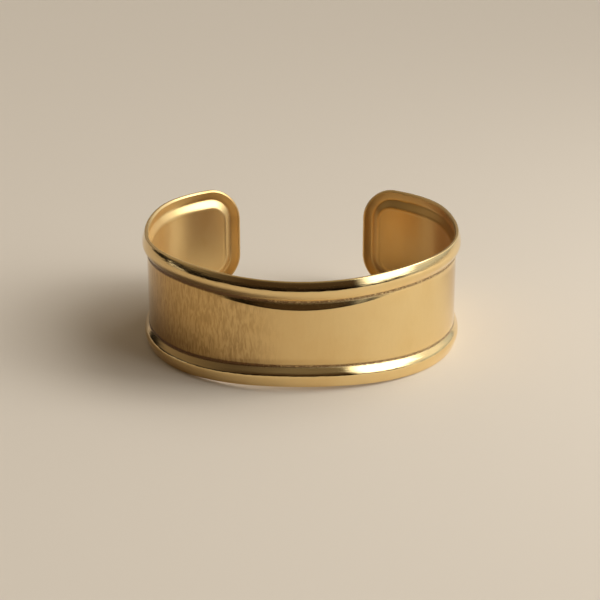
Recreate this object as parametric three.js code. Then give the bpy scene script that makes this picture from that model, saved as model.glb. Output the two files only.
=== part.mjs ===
// Channel cuff bracelet: one sheet of brass, stamped with a flat panel inside a raised hollow border,
// then bent round the wrist and left open at the back.
// Millimetres, +Z up along the wrist. The cuff lies on its lower edge at z = 0, the middle of its front
// toward -Y and the gap between its ends toward +Y, with the origin under the middle of its box.

import * as THREE from "three";

// The flat blank, before it is bent
const BAND_WIDTH = 19.5;
const SHEET = 0.8;
const CORNER_RADIUS = 6.3;

// The waist: at the middle of the front the band is drawn in a little across its width
const WAIST_DRAW = 0.8;
const WAIST_REACH = 26;

// Half of the bend, from the middle of the front to one end, on the panel's outer face at the sides.
// Radii in millimetres, turns in degrees.
const BEND = [
  { name: "front", radius: 26.9, turn: 83 },
  { name: "side", radius: 46, turn: 20 },
  { name: "end", radius: 19.6, turn: 62 },
];

// The border's section, from the panel out to the sheet's edge. The panel folds down into a crease, and
// the border rises from it. A positive heading points away from the wrist. At the waist the fold is
// steeper and runs on for a way before the crease, so that the panel stands a little proud there.
const FOLD = { radius: 0.9, heading: -8, waistHeading: -20, run: 0.12, waistRun: 1 };
const WALL = { footRadius: 0.42, heading: 33, run: 0.9 };
const CREST = { radius: 1.5, heading: -12 };
const FLANK = { radius: 7, heading: -24 };
const EDGE_LAND = 0.4; // the sheet's edge is filed flat this wide, and the band rests on it

// Facets
const TOP_RUN_STEP = 2.4;
const CORNER_FACETS = 6;
const FOLD_FACETS = 2;
const FOOT_FACETS = 3;
const CREST_FACETS = 4;
const FLANK_FACETS = 2;

const radians = THREE.MathUtils.degToRad;
const BLANK_LENGTH = 2 * BEND.reduce((sum, arc) => sum + arc.radius * radians(arc.turn), 0);

const brass = new THREE.MeshStandardMaterial({ color: 0xd9ad62, roughness: 0.18, metalness: 1 });

// How much of the waist is felt at a distance along the band: 1 at the middle, 0 past its reach
function waist(along) {
  const share = Math.min(Math.abs(along) / WAIST_REACH, 1);
  return (1 + Math.cos(Math.PI * share)) / 2;
}

// Walks from the last station round an arc until it heads another way, and adds the stations passed
function walkRound(stations, radius, newHeading, facets) {
  const swing = (newHeading - stations.at(-1).heading) / facets;
  const chord = 2 * radius * Math.sin(Math.abs(swing) / 2);
  for (let i = 0; i < facets; i += 1) {
    const { x, y, heading } = stations.at(-1);
    const direction = heading + swing / 2;
    stations.push({
      x: x + chord * Math.cos(direction),
      y: y + chord * Math.sin(direction),
      heading: heading + swing,
    });
  }
}

// Walks straight on from the last station
function walkOn(stations, run) {
  const { x, y, heading } = stations.at(-1);
  stations.push({ x: x + run * Math.cos(heading), y: y + run * Math.sin(heading), heading });
}

// The closed section of the border at one place along the band, as points { inset, rise }: inset is
// the distance in from the sheet's edge, and rise the height above the panel's outer face at the sides
function borderSection(along) {
  const foldHeading = radians(THREE.MathUtils.lerp(FOLD.heading, FOLD.waistHeading, waist(along) ** 2));
  const foldRun = THREE.MathUtils.lerp(FOLD.run, FOLD.waistRun, waist(along));
  const stations = [{ x: 0, y: -foldRun * Math.sin(foldHeading), heading: 0 }];
  walkRound(stations, FOLD.radius, foldHeading, FOLD_FACETS);
  walkOn(stations, foldRun);
  walkRound(stations, WALL.footRadius, radians(WALL.heading), FOOT_FACETS);
  walkOn(stations, WALL.run);
  walkRound(stations, CREST.radius, radians(CREST.heading), CREST_FACETS);
  walkRound(stations, FLANK.radius, radians(FLANK.heading), FLANK_FACETS);
  const edge = stations.at(-1);
  const outer = stations.map(({ x, y }) => ({ inset: edge.x - x, rise: y }));
  const land = { inset: 0, rise: edge.y - EDGE_LAND };
  const inner = stations.map(({ x, y, heading }) => ({
    inset: edge.x - x - SHEET * Math.sin(heading),
    rise: y - SHEET * Math.cos(heading),
  }));
  return [...outer, land, ...inner.reverse()];
}

// One quarter of the blank's rim, from the middle of the long edge to the middle of one end. Each
// station is a corner arc's centre or a point straight in from the edge, the reach out to the edge
// from there, and the outward direction in the flat sheet.
function rimQuarter() {
  const runEnd = BLANK_LENGTH / 2 - CORNER_RADIUS;
  const cornerHeight = BAND_WIDTH / 2 - CORNER_RADIUS;
  const runFacets = Math.round(runEnd / TOP_RUN_STEP);
  const stations = [];
  for (let i = 0; i < runFacets; i += 1) {
    stations.push({ along: (runEnd * i) / runFacets, across: cornerHeight, angle: Math.PI / 2 });
  }
  for (let i = 0; i < CORNER_FACETS; i += 1) {
    const angle = (Math.PI / 2) * (1 - i / CORNER_FACETS);
    stations.push({ along: runEnd, across: cornerHeight, angle });
  }
  stations.push({ along: runEnd, across: cornerHeight, angle: 0 });
  stations.push({ along: runEnd, across: 0, angle: 0 });
  return stations;
}

// The whole rim, from the middle of the left end over the upper edge and back along the lower one
function rim() {
  const quarter = rimQuarter();
  const mirrored = quarter.slice(1).map(({ along, across, angle }) => (
    { along: -along, across, angle: Math.PI - angle }
  ));
  const upper = [...mirrored.reverse(), ...quarter];
  const lower = upper.slice(1, -1).map(({ along, across, angle }) => (
    { along, across: -across, angle: -angle }
  ));
  return [...upper, ...lower.reverse()];
}

// The point and the heading reached after a distance along the bend from the middle of the front
function bendAt(along) {
  let left = Math.abs(along);
  let x = 0;
  let y = 0;
  let heading = 0;
  for (const { radius, turn } of BEND) {
    const swing = Math.min(left / radius, radians(turn));
    x += radius * (Math.sin(heading + swing) - Math.sin(heading));
    y += radius * (Math.cos(heading) - Math.cos(heading + swing));
    heading += swing;
    left -= swing * radius;
  }
  const side = Math.sign(along);
  return { x: side * x, y, heading: side * heading };
}

// Carries one point of the section at a rim station from the flat sheet to its place on the cuff
function place(station, { inset, rise }) {
  const reach = CORNER_RADIUS - inset;
  const along = station.along + reach * Math.cos(station.angle);
  const across = station.across + reach * Math.sin(station.angle);
  const drawn = across - Math.sign(station.across) * WAIST_DRAW * waist(along);
  const { x, y, heading } = bendAt(along);
  return [
    x + rise * Math.sin(heading),
    y - rise * Math.cos(heading),
    BAND_WIDTH / 2 + drawn,
  ];
}

// The band: the border's section carried round the rim, and the panel spanned across it on both faces
function cuffBandGeometry() {
  const stations = rim();
  const sections = stations.map(({ along }) => borderSection(along));
  const count = stations.length;
  const depth = sections[0].length;
  const points = stations.flatMap((station, i) => sections[i].map((point) => place(station, point)));
  const vertex = (station, point) => (station % count) * depth + point;
  const faces = [];
  const triangle = (a, b, c) => {
    if (a !== b && b !== c && c !== a) faces.push(a, b, c);
  };
  const quad = (a, b, c, d) => {
    triangle(a, b, c);
    triangle(a, c, d);
  };
  for (let i = 0; i < count; i += 1) {
    for (let j = 0; j < depth - 1; j += 1) {
      quad(vertex(i, j), vertex(i + 1, j), vertex(i + 1, j + 1), vertex(i, j + 1));
    }
  }

  // The panel has a point midway between each pair of opposite stations. At the ends it is the rim's.
  const midway = (a, b) => points.push(points[a].map((value, axis) => (value + points[b][axis]) / 2)) - 1;
  const spanPanel = (point, span) => {
    const columns = [];
    for (let i = 1; i < count / 2; i += 1) {
      const [lower, upper] = [vertex(count - i, point), vertex(i, point)];
      if (i === 1) columns.push([lower, vertex(0, point), upper]);
      else if (i === count / 2 - 1) columns.push([lower, vertex(count / 2, point), upper]);
      else columns.push([lower, midway(lower, upper), upper]);
    }
    columns.slice(1).forEach((right, i) => {
      const left = columns[i];
      span(left[0], right[0], right[1], left[1]);
      span(left[1], right[1], right[2], left[2]);
    });
  };
  spanPanel(0, quad);
  spanPanel(depth - 1, (a, b, c, d) => quad(d, c, b, a));

  const geometry = new THREE.BufferGeometry();
  geometry.setAttribute("position", new THREE.Float32BufferAttribute(points.flat(), 3));
  geometry.setIndex(faces);
  return geometry;
}

// Puts the origin under the middle of the cuff's box
function centredOnItsBox(geometry) {
  geometry.computeBoundingBox();
  const { min, max } = geometry.boundingBox;
  return geometry.translate(-(min.x + max.x) / 2, -(min.y + max.y) / 2, -min.z);
}

const band = new THREE.Mesh(centredOnItsBox(cuffBandGeometry()), brass);
band.name = "cuff_band";

const cuff = new THREE.Group();
cuff.add(band);

export default cuff;
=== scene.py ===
# Looks of a channel cuff bracelet: one sheet of brass, stamped with a flat panel inside a raised hollow
# border and bent round the wrist, on a pale floor in soft light. Metres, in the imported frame.

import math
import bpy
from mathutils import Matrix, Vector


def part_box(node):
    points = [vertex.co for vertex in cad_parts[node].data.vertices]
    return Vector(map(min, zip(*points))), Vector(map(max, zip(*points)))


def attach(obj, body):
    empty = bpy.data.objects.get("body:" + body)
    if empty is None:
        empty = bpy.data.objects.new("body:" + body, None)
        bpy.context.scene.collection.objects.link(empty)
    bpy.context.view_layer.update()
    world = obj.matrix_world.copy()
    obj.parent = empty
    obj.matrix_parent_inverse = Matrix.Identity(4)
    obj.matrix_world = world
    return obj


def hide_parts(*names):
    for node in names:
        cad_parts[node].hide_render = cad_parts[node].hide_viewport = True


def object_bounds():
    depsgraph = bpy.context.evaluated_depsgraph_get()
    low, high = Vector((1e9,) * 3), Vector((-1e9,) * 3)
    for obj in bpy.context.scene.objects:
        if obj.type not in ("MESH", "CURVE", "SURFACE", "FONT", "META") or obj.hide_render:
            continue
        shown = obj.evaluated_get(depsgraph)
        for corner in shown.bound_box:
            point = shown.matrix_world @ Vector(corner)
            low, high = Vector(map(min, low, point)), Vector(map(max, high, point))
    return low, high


bl_info = {
    "name": "Channel cuff bracelet",
    "version": (1, 0, 0),
    "blender": (4, 5, 0),
    "location": "3D View > Sidebar > Cuff",
    "description": "Makes a polished brass channel cuff and a plain studio to show it in",
    "category": "Add Mesh",
}

from collections import namedtuple

import bpy
from bpy.props import FloatProperty, FloatVectorProperty, IntProperty, PointerProperty
from mathutils import Vector, noise

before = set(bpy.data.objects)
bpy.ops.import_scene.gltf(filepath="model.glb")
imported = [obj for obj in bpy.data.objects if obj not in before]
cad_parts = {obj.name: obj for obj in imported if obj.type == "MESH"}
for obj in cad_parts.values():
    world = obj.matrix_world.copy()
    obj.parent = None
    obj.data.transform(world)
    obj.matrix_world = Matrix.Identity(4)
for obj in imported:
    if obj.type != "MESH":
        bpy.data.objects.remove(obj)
CAD_LOW, CAD_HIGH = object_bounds()
BAND_NODE = "cuff_band"
BRASS_SLOT = "polished_brass"

BAND_PIECE = "brass_cuff"
# The numbers kept on the mesh, which say where each of its points lies on the band
BAND_NUMBERS = ("along", "across", "past_crease", "from_edge", "wrist_side")


# ---------------------------------------------------------------- sizes and colours that a user may change


def length(name, description, default, **more):
    """A length in metres"""
    return FloatProperty(
        name=name, description=description, default=default, unit="LENGTH", precision=5, **more
    )


def turn(name, description, degrees):
    """An angle, given in degrees"""
    return FloatProperty(
        name=name, description=description, default=math.radians(degrees), unit="ROTATION"
    )


def share(name, description, default, high=1.0):
    """A plain number from 0 up"""
    return FloatProperty(name=name, description=description, default=default, min=0.0, max=high)


def colour(name, description, default):
    """A linear colour"""
    return FloatVectorProperty(
        name=name, description=description, default=default, size=3, subtype="COLOR", min=0.0, max=1.0
    )


class CuffSizes(bpy.types.PropertyGroup):
    """The blank, its border and its bend"""

    band_width: length("Band width", "Width of the flat band, edge to edge", CAD_HIGH.z - CAD_LOW.z)
    sheet: length("Sheet", "Thickness of the brass sheet", 0.0008)
    corner_radius: length("Corner radius", "Radius of the blank's corners", 0.0063)
    waist_draw: length("Waist draw", "How far each edge is drawn in at the middle of the front", 0.0008)
    waist_reach: length("Waist reach", "Distance along the band over which it is drawn in", 0.026)

    front_radius: length("Front radius", "Bend of the front, at the level of the sides' outer face", 0.0269)
    front_turn: turn("Front turn", "Turn of half the front", 83)
    side_radius: length("Side radius", "Bend of each side", 0.046)
    side_turn: turn("Side turn", "Turn of each side", 20)
    end_radius: length("End radius", "Bend of each end", 0.0196)
    end_turn: turn("End turn", "Turn of each end", 62)

    fold_radius: length("Fold radius", "Radius where the panel folds down into the crease", 0.0009)
    fold_heading: turn("Fold heading", "How steeply the panel falls into the crease", -8)
    fold_waist_heading: turn("Fold heading at the waist", "The same at the middle of the front", -20)
    fold_run: length("Fold run", "How far it falls before the crease", 0.00012)
    fold_waist_run: length("Fold run at the waist", "The same at the middle of the front", 0.001)
    foot_radius: length("Foot radius", "Radius at the bottom of the crease", 0.00042)
    wall_heading: turn("Wall heading", "How steeply the border rises from the crease", 33)
    wall_run: length("Wall run", "How far it rises before the crest", 0.0009)
    crest_radius: length("Crest radius", "Radius over the top of the border", 0.0015)
    crest_heading: turn("Crest heading", "Slope where the crest meets the flank", -12)
    flank_radius: length("Flank radius", "Radius of the border's outer flank", 0.007)
    edge_heading: turn("Edge heading", "Slope of the flank at the sheet's edge", -24)
    edge_land: length("Edge land", "Width of the flat filed on the sheet's edge", 0.0004)
    edge_rounding: length("Edge rounding", "Radius worn on the corners of the edge", 0.00018)

    hand_wave: length("Hand wave", "How far hammer and hand have left the sheet uneven", 0.000012)
    hand_wave_pitch: length("Hand wave pitch", "Distance from one wave to the next", 0.011)

    run_step: length("Run step", "Distance between the sections along the band", 0.0005)
    corner_steps: IntProperty(name="Corner steps", description="Sections round a corner", default=20)
    end_steps: IntProperty(name="End steps", description="Sections along half of an end", default=8)
    arc_steps: IntProperty(name="Arc steps", description="Steps over the border's crest", default=12)


class CuffFinish(bpy.types.PropertyGroup):
    """The brass and its wear, with the painted shade, painted reflection and painted highlight in its colour
    """

    gold: colour("Gold", "Polished brass", (0.96, 0.745, 0.38))
    amber: colour("Amber", "Brass where a warm skin of tarnish is left", (0.82, 0.54, 0.20))
    # Painted reflection and painted shade: a brown that darkens the left of the front, the far right of the
    # panel and the insides of the ends, in place of the darker floor and the shade they would show
    skin: colour("Skin", "Brown skin of tarnish, most of it on the left of the front", (0.46, 0.24, 0.052))
    # Real tarnish in the pits of the crease; the same dark colour is also laid on as painted shade in the
    # hollows and low on the left of the front, and as painted reflection in the strokes there
    tarnish_and_painted_shade: colour("Tarnish", "Old polish and tarnish in the creases and strokes", (0.16, 0.075, 0.022))
    polish: share("Polish", "Roughness of the polished outside", 0.085)
    satin: share("Satin", "Roughness of the wrist side", 0.33)
    cloud_size: length("Cloud size", "Size of the cloudy patches in the finish", 0.007)
    hairline_width: length("Hairline width", "Distance between the polishing lines", 0.0005)
    stroke_width: length("Stroke width", "Distance between the burnishing strokes across the panel", 0.00045)
    pit_size: length("Pit size", "Size of the pits in the crease", 0.0003)


class CuffStudio(bpy.types.PropertyGroup):
    """Floor, lights and camera"""

    floor_colour: colour("Floor", "Pale floor", (0.66, 0.585, 0.49))
    floor_size: length("Floor size", "Side of the square floor", 6.0)
    backdrop: colour("Backdrop", "Plain backdrop seen past the floor", (0.60, 0.50, 0.39))
    room_colour: colour("Room", "The dim room, where it is lightest", (0.19, 0.16, 0.12))
    front_colour: colour("Front", "The darker room in front, low over the floor", (0.062, 0.040, 0.022))
    horizon_shade: share("Horizon shade", "How dark the foot of the room is all round", 0.94)
    window_colour: colour("Window colour", "Light of the windows", (0.95, 0.97, 0.98))
    window_power: share("Window power", "Radiance of the large window on the right", 3.3, high=100.0)
    back_power: share("Back power", "Radiance of the high window behind", 2.4, high=100.0)
    strip_power: share("Strip power", "Radiance of the low strip on the left", 2.2, high=100.0)
    softness: turn("Softness", "How far each window fades out past its edge", 9)
    key_round: turn("Key round", "How far round to the right of the camera's side the soft box is", 84)
    key_height: turn("Key height", "Angle of the soft box above the floor", 32)
    key_distance: length("Key distance", "Distance from the cuff to the soft box", 0.29)
    key_size: length("Key size", "Side of the square soft box", 0.14)
    key_power: share("Key power", "Radiance of the soft box", 5.6, high=100.0)

    camera_distance: length("Camera distance", "Distance from the aim to the lens", 0.270)
    camera_height: turn("Camera height", "Angle of the camera above the floor", 19.35)
    lens: FloatProperty(
        name="Lens", description="Focal length on a 36 mm sensor", default=93.5, unit="CAMERA"
    )
    aim: FloatVectorProperty(
        name="Aim",
        description="Point that the camera looks at",
        default=(-0.00027, -0.00532, 0.0081),
        size=3,
        subtype="XYZ_LENGTH",
        unit="LENGTH",
        precision=5,
    )


# ---------------------------------------------------------------- shape of the band

# A place reached on the walk along the section, a point of the section, a stop on the blank's rim, and a
# point of the cuff with where it lies on the band
Turn = namedtuple("Turn", "x y heading walked")
Spot = namedtuple("Spot", "inset rise past_crease from_edge wrist_side")
Station = namedtuple("Station", "along across angle")
Place = namedtuple("Place", "point along across past_crease from_edge wrist_side")


def waist(sizes, along):
    """How much of the waist is felt at a distance along the band: 1 at the middle, 0 past its reach"""
    return (1 + math.cos(math.pi * min(abs(along) / sizes.waist_reach, 1.0))) / 2


def walk_round(turns, radius, new_heading, steps):
    """Walks from the last place round an arc until it heads another way, and adds the places passed"""
    swing = (new_heading - turns[-1].heading) / steps
    chord = 2 * radius * math.sin(abs(swing) / 2)
    for _ in range(steps):
        x, y, heading, walked = turns[-1]
        x += chord * math.cos(heading + swing / 2)
        y += chord * math.sin(heading + swing / 2)
        turns.append(Turn(x, y, heading + swing, walked + chord))


def walk_on(turns, run, steps):
    """Walks straight on from the last place"""
    step = run / steps
    for _ in range(steps):
        x, y, heading, walked = turns[-1]
        turns.append(Turn(x + step * math.cos(heading), y + step * math.sin(heading), heading, walked + step))


def rounded(before, corner, after, radius, steps):
    """The points of an arc that takes the place of the corner between two straight stretches"""
    back = (before - corner).normalized()
    on = (after - corner).normalized()
    half = back.angle(on) / 2
    centre = corner + (back + on).normalized() * radius / math.sin(half)
    first = corner + back * radius / math.tan(half) - centre
    last = corner + on * radius / math.tan(half) - centre
    return [centre + first.slerp(last, i / steps).normalized() * radius for i in range(steps + 1)]


def border_section(sizes, along):
    """The border's closed section at one place along the band, from the panel's outer face, over the
    border and round the sheet's edge, to the panel's inner face"""
    drawn = waist(sizes, along)
    fold_heading = sizes.fold_heading + (sizes.fold_waist_heading - sizes.fold_heading) * drawn**2
    fold_run = sizes.fold_run + (sizes.fold_waist_run - sizes.fold_run) * drawn
    steps = sizes.arc_steps
    turns = [Turn(0.0, -fold_run * math.sin(fold_heading), 0.0, 0.0)]
    walk_round(turns, sizes.fold_radius, fold_heading, steps // 2)
    walk_on(turns, fold_run, steps // 4)
    crease = turns[-1].walked + sizes.foot_radius * abs(fold_heading)
    walk_round(turns, sizes.foot_radius, sizes.wall_heading, steps)
    walk_on(turns, sizes.wall_run, steps // 3)
    walk_round(turns, sizes.crest_radius, sizes.crest_heading, steps)
    walk_round(turns, sizes.flank_radius, sizes.edge_heading, steps // 2)
    last = turns[-1]

    outer = [Vector((last.x - t.x, t.y)) for t in turns]
    inner = [
        Vector((last.x - t.x - sizes.sheet * math.sin(t.heading), t.y - sizes.sheet * math.cos(t.heading)))
        for t in turns
    ]
    land = Vector((0.0, last.y - sizes.edge_land))
    corner_steps = steps // 3
    edge = [
        *rounded(outer[-2], outer[-1], land, sizes.edge_rounding, corner_steps),
        *rounded(outer[-1], land, inner[-1], sizes.edge_rounding, corner_steps),
        *rounded(land, inner[-1], inner[-2], sizes.edge_rounding, corner_steps),
    ]
    far = last.walked
    spots = [Spot(p.x, p.y, t.walked - crease, far - t.walked, 0.0) for p, t in zip(outer[:-1], turns)]
    spots += [Spot(p.x, p.y, far - crease, 0.0, i / (len(edge) - 1)) for i, p in enumerate(edge)]
    back = zip(inner[-2::-1], turns[-2::-1])
    spots += [Spot(p.x, p.y, t.walked - crease, far - t.walked, 1.0) for p, t in back]
    return spots


def bend_arcs(sizes):
    """Half of the bend, from the middle of the front to one end, as radius and turn"""
    return (
        (sizes.front_radius, sizes.front_turn),
        (sizes.side_radius, sizes.side_turn),
        (sizes.end_radius, sizes.end_turn),
    )


def bend_at(sizes, along):
    """The point and the heading reached after a distance along the bend from the middle of the front"""
    left, x, y, heading = abs(along), 0.0, 0.0, 0.0
    for radius, arc_turn in bend_arcs(sizes):
        swing = min(left / radius, arc_turn)
        x += radius * (math.sin(heading + swing) - math.sin(heading))
        y += radius * (math.cos(heading) - math.cos(heading + swing))
        heading += swing
        left -= swing * radius
    side = math.copysign(1.0, along)
    return side * x, y, side * heading


def rim(sizes):
    """The blank's rim, from the middle of the left end over the upper edge and back along the lower one.
    Each station is a corner arc's centre or a point straight in from the edge, and the outward direction."""
    run_end = sum(radius * arc_turn for radius, arc_turn in bend_arcs(sizes)) - sizes.corner_radius
    corner_height = sizes.band_width / 2 - sizes.corner_radius
    run_steps = round(run_end / sizes.run_step)
    run = [Station(run_end * i / run_steps, corner_height, math.pi / 2) for i in range(run_steps)]
    corner = [
        Station(run_end, corner_height, math.pi / 2 * (1 - i / sizes.corner_steps))
        for i in range(sizes.corner_steps)
    ]
    end = [
        Station(run_end, corner_height * (1 - i / sizes.end_steps), 0.0) for i in range(sizes.end_steps + 1)
    ]
    quarter = run + corner + end
    mirrored = [Station(-s.along, s.across, math.pi - s.angle) for s in quarter[:0:-1]]
    upper = mirrored + quarter
    lower = [Station(s.along, -s.across, -s.angle) for s in upper[-2:0:-1]]
    return upper + lower


def unevenness(sizes, along, across):
    """How far the sheet stands off its true place, from hammer and hand"""
    pitch = sizes.hand_wave_pitch
    return sizes.hand_wave * noise.noise(Vector((along / pitch, across / pitch, 0.5)))


def bent(sizes, along, across, level):
    """Carries a point from the flat sheet to the cuff. Level is its height above the panel's outer face at
    the sides."""
    x, y, heading = bend_at(sizes, along)
    out = level + unevenness(sizes, along, across)
    return Vector((x + out * math.sin(heading), y - out * math.cos(heading), sizes.band_width / 2 + across))


def drawn_in(sizes, along, across, share_of_draw):
    """How far across the band a point lies once the waist is drawn in"""
    return across - share_of_draw * sizes.waist_draw * waist(sizes, along)


def border_place(sizes, station, spot):
    """The place on the cuff of one point of the border's section"""
    reach = sizes.corner_radius - spot.inset
    along = station.along + reach * math.cos(station.angle)
    flat = station.across + reach * math.sin(station.angle)
    side = math.copysign(1.0, station.across) if station.across else 0.0
    across = drawn_in(sizes, along, flat, side)
    point = bent(sizes, along, across, spot.rise)
    return Place(point, along, across, spot.past_crease, spot.from_edge, spot.wrist_side)


def panel_place(low, high, portion):
    """A place on the panel, a portion of the way from one rim of it to the other"""
    to_rim = min(portion, 1 - portion) * (high.across - low.across)
    return low._replace(
        point=low.point.lerp(high.point, portion),
        across=low.across + (high.across - low.across) * portion,
        past_crease=low.past_crease - to_rim,
        from_edge=low.from_edge + to_rim,
    )


def band_mesh(sizes):
    """The places and the faces of the whole band"""
    stations = rim(sizes)
    count = len(stations)
    sections = [border_section(sizes, s.along) for s in stations]
    depth = len(sections[0])
    places = [border_place(sizes, s, spot) for s, section in zip(stations, sections) for spot in section]
    faces = []
    for i in range(count):
        here, there = i * depth, (i + 1) % count * depth
        faces += [(here + j, there + j, there + j + 1, here + j + 1) for j in range(depth - 1)]

    rows = 2 * sizes.end_steps

    def column(layer, i):
        """The panel's points from the lower rim to the upper one, at a pair of opposite stations"""
        upper, lower = i, (count - i) % count
        if i == sizes.end_steps:
            return [(j % count) * depth + layer for j in range(-i, i + 1)]
        if i == count // 2 - sizes.end_steps:
            return [j * depth + layer for j in range(lower, upper - 1, -1)]
        low, high = places[lower * depth + layer], places[upper * depth + layer]
        first = len(places)
        places.extend(panel_place(low, high, j / rows) for j in range(1, rows))
        return [lower * depth + layer, *range(first, first + rows - 1), upper * depth + layer]

    for layer in (0, depth - 1):
        columns = [column(layer, i) for i in range(sizes.end_steps, count // 2 - sizes.end_steps + 1)]
        for left, right in zip(columns, columns[1:]):
            for j in range(rows):
                face = (left[j], right[j], right[j + 1], left[j + 1])
                faces.append(face if layer == 0 else face[::-1])
    return places, faces


def fitted(points):
    """The points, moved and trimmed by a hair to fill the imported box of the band"""
    low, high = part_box(BAND_NODE)
    made_low = Vector(map(min, *points))
    made_high = Vector(map(max, *points))
    trim = Vector((high[k] - low[k]) / (made_high[k] - made_low[k]) for k in range(3))
    return [low + (p - made_low) * trim for p in points]


def make_band(sizes):
    """The band as one smooth mesh, with where each point lies on the band kept for its finish"""
    places, faces = band_mesh(sizes)
    mesh = bpy.data.meshes.new(BAND_PIECE)
    mesh.from_pydata(fitted([p.point for p in places]), [], faces)
    mesh.validate()
    for name in BAND_NUMBERS:
        values = [getattr(p, name) for p in places]
        mesh.attributes.new(name, "FLOAT", "POINT").data.foreach_set("value", values)
    mesh.shade_smooth()
    band = bpy.data.objects.new(BAND_PIECE, mesh)
    bpy.context.scene.collection.objects.link(band)
    return band


# ---------------------------------------------------------------- brass


class Value:
    """A number that varies over a surface. Arithmetic on it adds Math nodes."""

    def __init__(self, finish, socket):
        self.finish = finish
        self.socket = socket

    def __add__(self, other):
        return self.finish.maths("ADD", self, other)

    def __sub__(self, other):
        return self.finish.maths("SUBTRACT", self, other)

    def __rsub__(self, other):
        return self.finish.maths("SUBTRACT", other, self)

    def __mul__(self, other):
        return self.finish.maths("MULTIPLY", self, other)

    def __abs__(self):
        return self.finish.maths("ABSOLUTE", self)

    __radd__ = __add__
    __rmul__ = __mul__


class Finish:
    """The nodes of a material, or of the room"""

    def __init__(self, owner):
        owner.use_nodes = True
        self.tree = owner.node_tree
        self.tree.nodes.clear()

    def node(self, kind, settings=None, sockets=None):
        """A node of a kind, with its settings made first and then the values or links of its sockets"""
        node = self.tree.nodes.new(kind)
        for name, value in (settings or {}).items():
            setattr(node, name, value)
        for name, value in (sockets or {}).items():
            socket = node.inputs[name]
            if isinstance(value, Value):
                self.tree.links.new(value.socket, socket)
            else:
                socket.default_value = value
        return node

    def value(self, kind, output, settings=None, sockets=None):
        """One output of a new node"""
        return Value(self, self.node(kind, settings, sockets).outputs[output])

    def maths(self, operation, first, second=0.0):
        """The result of a Math node"""
        return self.value("ShaderNodeMath", 0, {"operation": operation}, {0: first, 1: second})

    def place(self, x, y, z):
        """A place made of three numbers"""
        return self.value("ShaderNodeCombineXYZ", "Vector", None, {"X": x, "Y": y, "Z": z})

    def from_mesh(self, name):
        """A number kept on the mesh"""
        return self.value("ShaderNodeAttribute", "Fac", {"attribute_name": name})

    def smooth(self, value, low, high):
        """0 below low and 1 above high, with a soft change between"""
        return self.value(
            "ShaderNodeMapRange",
            "Result",
            {"interpolation_type": "SMOOTHSTEP"},
            {"Value": value, "From Min": low, "From Max": high},
        )

    def until(self, value, fading, gone):
        """1 below fading and 0 above gone, with a soft change between"""
        return 1 - self.smooth(value, fading, gone)

    def within(self, value, start, full, fading, gone):
        """0 below start, 1 from full to fading, and 0 above gone, with soft changes between"""
        return self.smooth(value, start, full) * self.until(value, fading, gone)

    def cloud(self, place, size, detail=2.0, roughness=0.5, curl=0.0):
        """Soft noise about 0.5, with patches of a size in metres, and curled by a share of it"""
        return self.value(
            "ShaderNodeTexNoise",
            "Fac",
            None,
            {
                "Vector": place,
                "Scale": 1.0 / size,
                "Detail": detail,
                "Roughness": roughness,
                "Distortion": curl,
            },
        )

    def blend(self, factor, first, second):
        """One colour, changed to another by a factor"""
        return self.value(
            "ShaderNodeMix",
            2,
            {"data_type": "RGBA", "blend_type": "MIX"},
            {"Factor": factor, 6: first, 7: second},
        )


def rgba(rgb):
    """A colour with full alpha"""
    return (*rgb, 1.0)


# Lines in the finish are noise, drawn out by squeezing its place to this share along the line
HAIRLINE_SQUEEZE = 0.09
STROKE_SQUEEZE = 0.24
RUB_SQUEEZE = 0.05

STROKE_SLICE = 0.004  # which slice of the noise the strokes are cut from
RUB_WIDTH = 0.0032  # the distance between the lines on the wrist side
BUMP_DEPTH = 0.000006  # how deep a bump of 1 is

# Where the parts of the finish change. With two places the change runs from one to the other, and with
# four the part starts, is full, starts to fade and is gone. First past the crease, toward the edge:
PANEL_ENDS = (-0.0014, -0.0006)
FOLD_ENDS = (-0.0001, 0.0003)
HOLLOW = (-0.0005, 0.0, 0.0011, 0.0017)
BORDER_STARTS = (0.0003, 0.0009)
CREASE_MIDDLE = 0.00002
CREASE_REACH = (0.00012, 0.00040)

# In from the sheet's edge:
WORN_EDGE = (0.0, 0.0003)
END_RIM = (0.0014, 0.0030)

# Along the band from the middle of the front, with the left negative:
# Painted reflection: brown over the left of the front, for the darker floor it would reflect
LEFT_PAINTED_REFLECTION = (-0.052, -0.030, -0.028, 0.026)
# Painted reflection: dark streaks in the strokes on the left of the panel, with painted shade low on it; the
# strokes' bump is real grain
LEFT_STROKES = (-0.050, -0.028, -0.011, -0.002)
# Painted shade in the crease and border walls on the left of the front
LEFT_HOLLOW_PAINTED_SHADE = (-0.052, -0.030, -0.012, 0.0)
# Painted shade inside the left end, near its rim
LEFT_END = (-0.070, -0.060)
# Painted reflection: brown on the far right of the panel
RIGHT_SIDE_STARTS = (0.028, 0.038)
RIGHT_SIDE_ENDS = (0.046, 0.062)
# Painted shade inside the right end, paler down its middle as a painted highlight
RIGHT_END_STARTS = (0.026, 0.048)
RIGHT_END_PAINTED_HIGHLIGHT = (0.052, 0.061)

# Up from the middle of the band:
# Painted shade: the left of the panel is darker toward the bottom
LOW_HALF = (-0.004, 0.006)

Parts = namedtuple(
    "Parts", "along across from_edge wrist_side outside panel in_crease left_strokes hollow crease border"
)
Grain = namedtuple("Grain", "hairlines strokes rubbed clouds fine pits")


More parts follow.
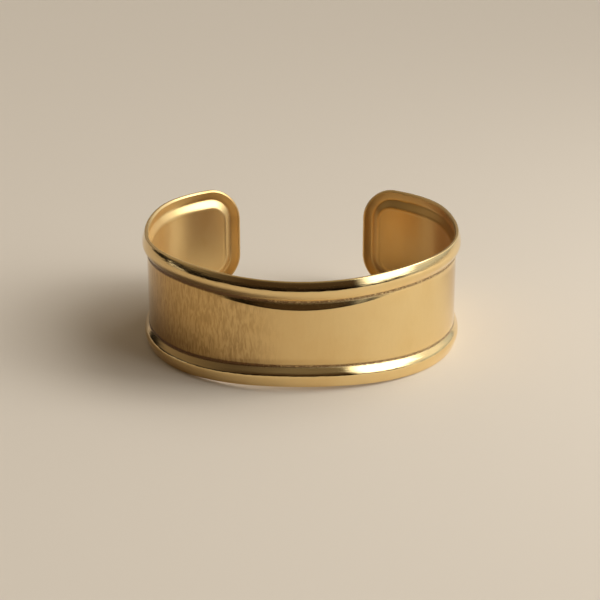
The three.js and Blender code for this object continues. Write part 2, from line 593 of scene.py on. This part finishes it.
def band_parts(brass):
    """Where a place lies on the band, and how much it belongs to each part of it. In_crease is the panel
    with its fold, as far as the crease."""
    along, across, past_crease, from_edge, wrist_side = map(brass.from_mesh, BAND_NUMBERS)
    outside = 1 - wrist_side
    in_crease = brass.until(past_crease, *FOLD_ENDS) * outside
    return Parts(
        along=along,
        across=across,
        from_edge=from_edge,
        wrist_side=wrist_side,
        outside=outside,
        panel=brass.until(past_crease, *PANEL_ENDS) * outside,
        in_crease=in_crease,
        left_strokes=brass.within(along, *LEFT_STROKES) * in_crease,
        hollow=brass.within(past_crease, *HOLLOW) * outside,
        crease=brass.until(abs(past_crease - CREASE_MIDDLE), *CREASE_REACH) * outside,
        border=brass.smooth(past_crease, *BORDER_STARTS) * outside,
    )


def brass_grain(brass, look, parts):
    """The lines and clouds in the finish. The polishing wheel ran along the border, burnishing strokes go
    across the panel, and the wrist side was rubbed across the band."""
    wheel = brass.place(parts.along * HAIRLINE_SQUEEZE, parts.across * HAIRLINE_SQUEEZE, parts.from_edge)
    stroke = brass.place(parts.along, parts.across * STROKE_SQUEEZE, STROKE_SLICE)
    rub = brass.place(parts.along, parts.across * RUB_SQUEEZE, 0.0)
    place = brass.value("ShaderNodeTexCoord", "Object")
    return Grain(
        hairlines=brass.cloud(wheel, look.hairline_width, detail=3.0, roughness=0.6),
        strokes=brass.cloud(stroke, look.stroke_width, detail=2.0, roughness=0.55, curl=0.7),
        rubbed=brass.cloud(rub, RUB_WIDTH, detail=1.0, roughness=0.4),
        clouds=brass.cloud(place, look.cloud_size, detail=3.0, roughness=0.55),
        fine=brass.cloud(place, look.cloud_size / 9, detail=3.0, roughness=0.6),
        pits=brass.cloud(place, look.pit_size, detail=2.0, roughness=0.7),
    )


def brass_colour(brass, look, parts, grain, pitted):
    """Gold with amber clouds, under a brown painted reflection and painted shade on the left of the front, on
    the far right of the panel and toward the ends, paler down the middle of the right end as a painted
    highlight; with dark painted shade in the hollows and low on the left, dark painted reflection in the
    strokes on the left, faint dark strokes over the panel, and dark tarnish in the pits of the crease"""
    # Painted reflection: brown over the left of the front, stronger on its panel and fold
    left = brass.within(parts.along, *LEFT_PAINTED_REFLECTION) * parts.outside
    # Painted shade in the crease and border walls on the left
    left_hollow_painted_shade = brass.within(parts.along, *LEFT_HOLLOW_PAINTED_SHADE) * parts.hollow
    # Painted shade: the left of the panel darker toward the bottom
    low_left_painted_shade = parts.left_strokes * brass.until(parts.across + grain.clouds * 0.006, *LOW_HALF)
    # Painted reflection: brown on the far right of the panel
    right_side_painted_reflection = (
        brass.smooth(parts.along + parts.across * 0.6, *RIGHT_SIDE_STARTS)
        * brass.until(parts.along, *RIGHT_SIDE_ENDS)
        * parts.panel
    )
    # Painted shade inside the right end, with a paler painted highlight down its middle
    right_end_painted_shade = (
        brass.smooth(parts.along, *RIGHT_END_STARTS)
        * (1 - brass.smooth(parts.along, *RIGHT_END_PAINTED_HIGHLIGHT) * 0.28)
        * parts.wrist_side
    )
    # Painted shade inside the left end, near its rim
    left_end_rim_painted_shade = (
        brass.until(parts.along, *LEFT_END) * brass.until(parts.from_edge, *END_RIM) * parts.wrist_side
    )
    warmth = brass.smooth(grain.clouds, 0.38, 0.74) * 0.25 + parts.wrist_side * 0.35
    # How much of the brown painted reflection and painted shade lies on each place
    skin = (
        left * 0.38
        + left * parts.in_crease * 0.34
        + right_side_painted_reflection * 0.50
        + right_end_painted_shade * 0.94
        + left_end_rim_painted_shade * 0.7
    )
    # Dark tarnish in the pits of the crease and faint strokes over the panel, with painted reflection as dark
    # streaks in the strokes on the left, and painted shade low on the left and in the left hollows
    tarnish_and_shade_share = (
        brass.smooth(grain.strokes, 0.34, 0.68) * (parts.left_strokes * 0.34 + parts.panel * 0.02)
        + low_left_painted_shade * 0.22
        + left_hollow_painted_shade * 0.45
        + pitted * 0.9
    )
    clean = brass.blend(warmth, rgba(look.gold), rgba(look.amber))
    return brass.blend(tarnish_and_shade_share, brass.blend(skin, clean, rgba(look.skin)), rgba(look.tarnish_and_painted_shade))


def brass_roughness(brass, look, parts, grain, pitted):
    """Polished outside, satin on the wrist side, and rougher in the crease and on the worn edge"""
    edge = brass.until(parts.from_edge, *WORN_EDGE)
    fold = parts.outside - parts.panel - parts.border
    return (
        look.polish
        + parts.outside * brass.smooth(grain.clouds, 0.45, 0.8) * 0.05
        + parts.border * (grain.hairlines - 0.5) * 0.08
        + parts.wrist_side * (look.satin - look.polish)
        + parts.wrist_side * (grain.rubbed - 0.5) * 0.05
        + fold * 0.05
        + pitted * 0.30
        + edge * 0.06
    )


def brass_height(parts, grain, pitted):
    """How high the lines stand and how deep the pits lie, for the bump"""
    return (
        parts.border * (grain.hairlines - 0.5) * 4.2
        + (parts.panel + parts.left_strokes) * (grain.strokes - 0.5) * 2.0
        + parts.wrist_side * (grain.rubbed - 0.5) * 0.35
        + (grain.fine - 0.5) * 0.35
        - pitted * 0.6
    )


def brass_finish(look):
    """Polished outside, satin on the wrist side, with tarnish and pits in the creases and worn edges, and
    painted shade, reflection and highlight in its colour
    """
    material = bpy.data.materials.new(BRASS_SLOT)
    brass = Finish(material)
    parts = band_parts(brass)
    grain = brass_grain(brass, look, parts)
    pitted = parts.crease * (brass.smooth(grain.pits, 0.36, 0.54) * 0.65 + 0.35)
    height = brass_height(parts, grain, pitted)
    bump = brass.value(
        "ShaderNodeBump", "Normal", None, {"Strength": 1.0, "Distance": BUMP_DEPTH, "Height": height}
    )
    shader = brass.value(
        "ShaderNodeBsdfPrincipled",
        "BSDF",
        None,
        {
            "Base Color": brass_colour(brass, look, parts, grain, pitted),
            "Metallic": 1 - pitted * 0.5,
            "Roughness": brass_roughness(brass, look, parts, grain, pitted),
            "Normal": bump,
        },
    )
    brass.node("ShaderNodeOutputMaterial", None, {"Surface": shader})
    return material


# ---------------------------------------------------------------- studio


def make_floor(studio):
    """A plain pale floor under the cuff"""
    half = studio.floor_size / 2
    mesh = bpy.data.meshes.new("floor")
    corners = [(-half, -half, 0), (half, -half, 0), (half, half, 0), (-half, half, 0)]
    mesh.from_pydata(corners, [], [(0, 1, 2, 3)])
    floor = bpy.data.objects.new("floor", mesh)
    bpy.context.scene.collection.objects.link(floor)
    material = bpy.data.materials.new("pale_floor")
    paint = Finish(material)
    shader = paint.value(
        "ShaderNodeBsdfPrincipled",
        "BSDF",
        None,
        {"Base Color": rgba(studio.floor_colour), "Roughness": 0.75, "Specular IOR Level": 0.2},
    )
    paint.node("ShaderNodeOutputMaterial", None, {"Surface": shader})
    mesh.materials.append(material)


def toward(round_from_camera, up):
    """The direction that lies so far round to the right of the camera's side, and up"""
    return Vector(
        (
            math.sin(round_from_camera) * math.cos(up),
            -math.cos(round_from_camera) * math.cos(up),
            math.sin(up),
        )
    )


# The windows of the room, in degrees: the middle, counted round to the right from the camera's side, the
# half width, the foot and the head
Window = namedtuple("Window", "middle half_width foot head")
MAIN_WINDOW = Window(62, 18, 8, 55)
SIDE_WINDOW = Window(96, 17, 25, 55)
RIGHT_GLOW = Window(116, 42, 0, 30)
LEFT_STRIP = Window(-97, 9, 1.4, 2.4)
# The middle of this one is counted from straight behind, because the azimuth has its seam there
BACK_WINDOW = Window(50, 28, 36, 62)
GLOW_SHARE = 0.19
STRIP_SOFTNESS = 1.4

# Where the walls change, in degrees to either side of the camera's side or up from the floor
FRONT_SIDES = (30, 90)
FRONT_TOP = (22, 48)
FOOT_TOP = (6, 15)
BEHIND_STARTS = (55, 130)


def soft_window(room, azimuth, height, window, softness):
    """1 inside a window of the room and 0 outside it, with soft edges"""
    aside = abs(azimuth - window.middle)
    upright = room.within(
        height,
        window.foot - softness / 2,
        window.foot + softness / 2,
        window.head - softness,
        window.head + softness,
    )
    return room.until(aside, window.half_width - softness, window.half_width + softness) * upright


def make_room(studio):
    """A dim room with a large window on the right, a high bright one behind and a low strip on the left.
    Azimuth is counted from the camera's side, and positive to the right."""
    world = bpy.data.worlds.new("room")
    room = Finish(world)
    ray = room.value("ShaderNodeTexCoord", "Generated")
    out = room.node("ShaderNodeSeparateXYZ", None, {"Vector": ray})
    x, y, z = (Value(room, out.outputs[axis]) for axis in "XYZ")
    degrees = math.degrees(1)
    azimuth = room.maths("ARCTAN2", x, 0 - y) * degrees
    from_back = room.maths("ARCTAN2", x, y) * degrees
    height = room.maths("ARCSINE", z) * degrees
    softness = math.degrees(studio.softness)

    main = soft_window(room, azimuth, height, MAIN_WINDOW, softness)
    side = soft_window(room, azimuth, height, SIDE_WINDOW, softness)
    glow = soft_window(room, azimuth, height, RIGHT_GLOW, softness)
    back = soft_window(room, from_back, height, BACK_WINDOW, softness)
    strip = soft_window(room, azimuth, height, LEFT_STRIP, STRIP_SOFTNESS)
    light = (
        (main + side + glow * GLOW_SHARE) * studio.window_power
        + back * studio.back_power
        + strip * studio.strip_power
    )
    in_front = room.until(abs(azimuth), *FRONT_SIDES) * room.until(height, *FRONT_TOP)
    foot = room.until(height, *FOOT_TOP)
    behind = room.smooth(abs(azimuth), *BEHIND_STARTS)
    dim = (1 + behind) * (1 - foot * studio.horizon_shade)
    walls = room.blend(in_front, rgba(studio.room_colour), rgba(studio.front_colour))
    lit = room.value(
        "ShaderNodeVectorMath", "Vector", {"operation": "SCALE"}, {0: studio.window_colour, "Scale": light}
    )
    unlit = room.value("ShaderNodeVectorMath", "Vector", {"operation": "SCALE"}, {0: walls, "Scale": dim})
    both = room.value("ShaderNodeVectorMath", "Vector", {"operation": "ADD"}, {0: lit, 1: unlit})
    # The lens sees a plain backdrop past the floor, while the brass and the floor see the room
    seen = room.value("ShaderNodeLightPath", "Is Camera Ray")
    colour_now = room.blend(seen, both, rgba(studio.backdrop))
    background = room.value("ShaderNodeBackground", "Background", None, {"Color": colour_now})
    room.node("ShaderNodeOutputWorld", None, {"Surface": background})
    bpy.context.scene.world = world
    bpy.context.scene.view_settings.view_transform = "Standard"


def make_key(studio):
    """A soft box close by on the right, which lights the floor and throws the shadow to the left"""
    light = bpy.data.lights.new("key", "AREA")
    light.size = studio.key_size
    light.energy = studio.key_power * math.pi * studio.key_size**2
    light.color = studio.window_colour
    lamp = bpy.data.objects.new("key", light)
    direction = toward(studio.key_round, studio.key_height)
    lamp.location = direction * studio.key_distance
    lamp.rotation_mode = "QUATERNION"
    lamp.rotation_quaternion = direction.to_track_quat("Z", "Y")
    lamp.visible_glossy = False
    bpy.context.scene.collection.objects.link(lamp)


def make_camera(studio):
    """The camera, above the floor in front of the cuff"""
    camera = bpy.data.cameras.new("camera")
    camera.lens = studio.lens
    camera.clip_start = 0.01
    stand = bpy.data.objects.new("camera", camera)
    direction = toward(0.0, studio.camera_height)
    stand.location = Vector(studio.aim) + direction * studio.camera_distance
    stand.rotation_mode = "QUATERNION"
    stand.rotation_quaternion = direction.to_track_quat("Z", "Y")
    bpy.context.scene.collection.objects.link(stand)
    bpy.context.scene.camera = stand


# ---------------------------------------------------------------- add-on


class CUFF_OT_stage(bpy.types.Operator):
    """Make the camera, the pale floor and the soft lights"""

    bl_idname = "cuff.stage"
    bl_label = "Make the studio"

    def execute(self, context):
        studio = context.scene.cuff_studio
        make_camera(studio)
        make_floor(studio)
        make_room(studio)
        make_key(studio)
        return {"FINISHED"}


class CUFF_OT_band(bpy.types.Operator):
    """Make the brass band in the place of its plain solid"""

    bl_idname = "cuff.band"
    bl_label = "Make the band"

    def execute(self, context):
        band = make_band(context.scene.cuff_sizes)
        band.data.materials.append(brass_finish(context.scene.cuff_finish))
        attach(band, "root")
        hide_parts(BAND_NODE)
        return {"FINISHED"}


class CUFF_PT_panel(bpy.types.Panel):
    """The cuff's sizes and finish, and what makes it"""

    bl_idname = "CUFF_PT_panel"
    bl_label = "Channel cuff"
    bl_space_type = "VIEW_3D"
    bl_region_type = "UI"
    bl_category = "Cuff"

    def draw(self, context):
        scene = context.scene
        for operator, group in (
            (CUFF_OT_stage, scene.cuff_studio),
            (CUFF_OT_band, scene.cuff_sizes),
            (None, scene.cuff_finish),
        ):
            box = self.layout.box()
            for name in group.__annotations__:
                box.prop(group, name)
            if operator:
                box.operator(operator.bl_idname)


CLASSES = (CuffSizes, CuffFinish, CuffStudio, CUFF_OT_stage, CUFF_OT_band, CUFF_PT_panel)


def register():
    for each in CLASSES:
        bpy.utils.register_class(each)
    bpy.types.Scene.cuff_sizes = PointerProperty(type=CuffSizes)
    bpy.types.Scene.cuff_finish = PointerProperty(type=CuffFinish)
    bpy.types.Scene.cuff_studio = PointerProperty(type=CuffStudio)


def unregister():
    del bpy.types.Scene.cuff_studio
    del bpy.types.Scene.cuff_finish
    del bpy.types.Scene.cuff_sizes
    for each in reversed(CLASSES):
        bpy.utils.unregister_class(each)


def main():
    register()
    bpy.ops.cuff.stage()
    bpy.ops.cuff.band()
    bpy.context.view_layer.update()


if __name__ == "__main__":
    main()
